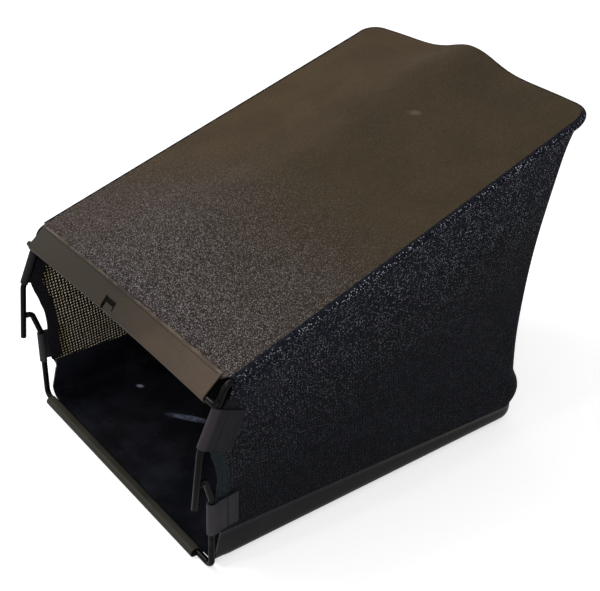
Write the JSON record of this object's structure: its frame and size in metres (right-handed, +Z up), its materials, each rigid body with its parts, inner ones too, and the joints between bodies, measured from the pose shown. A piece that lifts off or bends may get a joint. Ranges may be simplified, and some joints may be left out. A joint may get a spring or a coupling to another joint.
{
  "type": "mower grass collection bag",
  "caption": "Open-fronted knit cloth grass bag on a bent rod frame with clip-on bindings, side hanging hooks and a moulded base tray, for the rear of a walk-behind mower.",
  "frame": {"origin": "middle of the bounding box on the ground plane, under the tray", "axes": "+Y from the open mouth towards the closed rear, +X to the right-hand side when looking into the mouth, +Z up"},
  "size_m": [0.455, 0.616, 0.4835],
  "materials": {
    "rod": "gloss black",
    "tray": "semi-gloss black, moulded",
    "top_cloth": "matt knit mesh, faded brown-black",
    "side_cloth": "matt knit mesh, blue-black",
    "tape": "matt woven tape",
    "binding": "satin vinyl, brown-grey",
    "side_binding": "satin vinyl, dark grey"
  },
  "bodies": {
    "root": {"rail_rod": "rod", "crossbar_rod": "rod", "ridge_rod": "rod", "lower_rod": "rod", "tray": "tray", "top_panel": "top_cloth", "rear_panel": "side_cloth", "side_panel_left": "side_cloth", "side_panel_right": "side_cloth", "hem_tape_left": "tape", "hem_tape_right": "tape", "top_binding": "binding", "bottom_binding": "binding", "upper_binding_left": "side_binding", "upper_binding_right": "side_binding", "lower_binding_left": "side_binding", "lower_binding_right": "side_binding"}
  },
  "joints": []
}
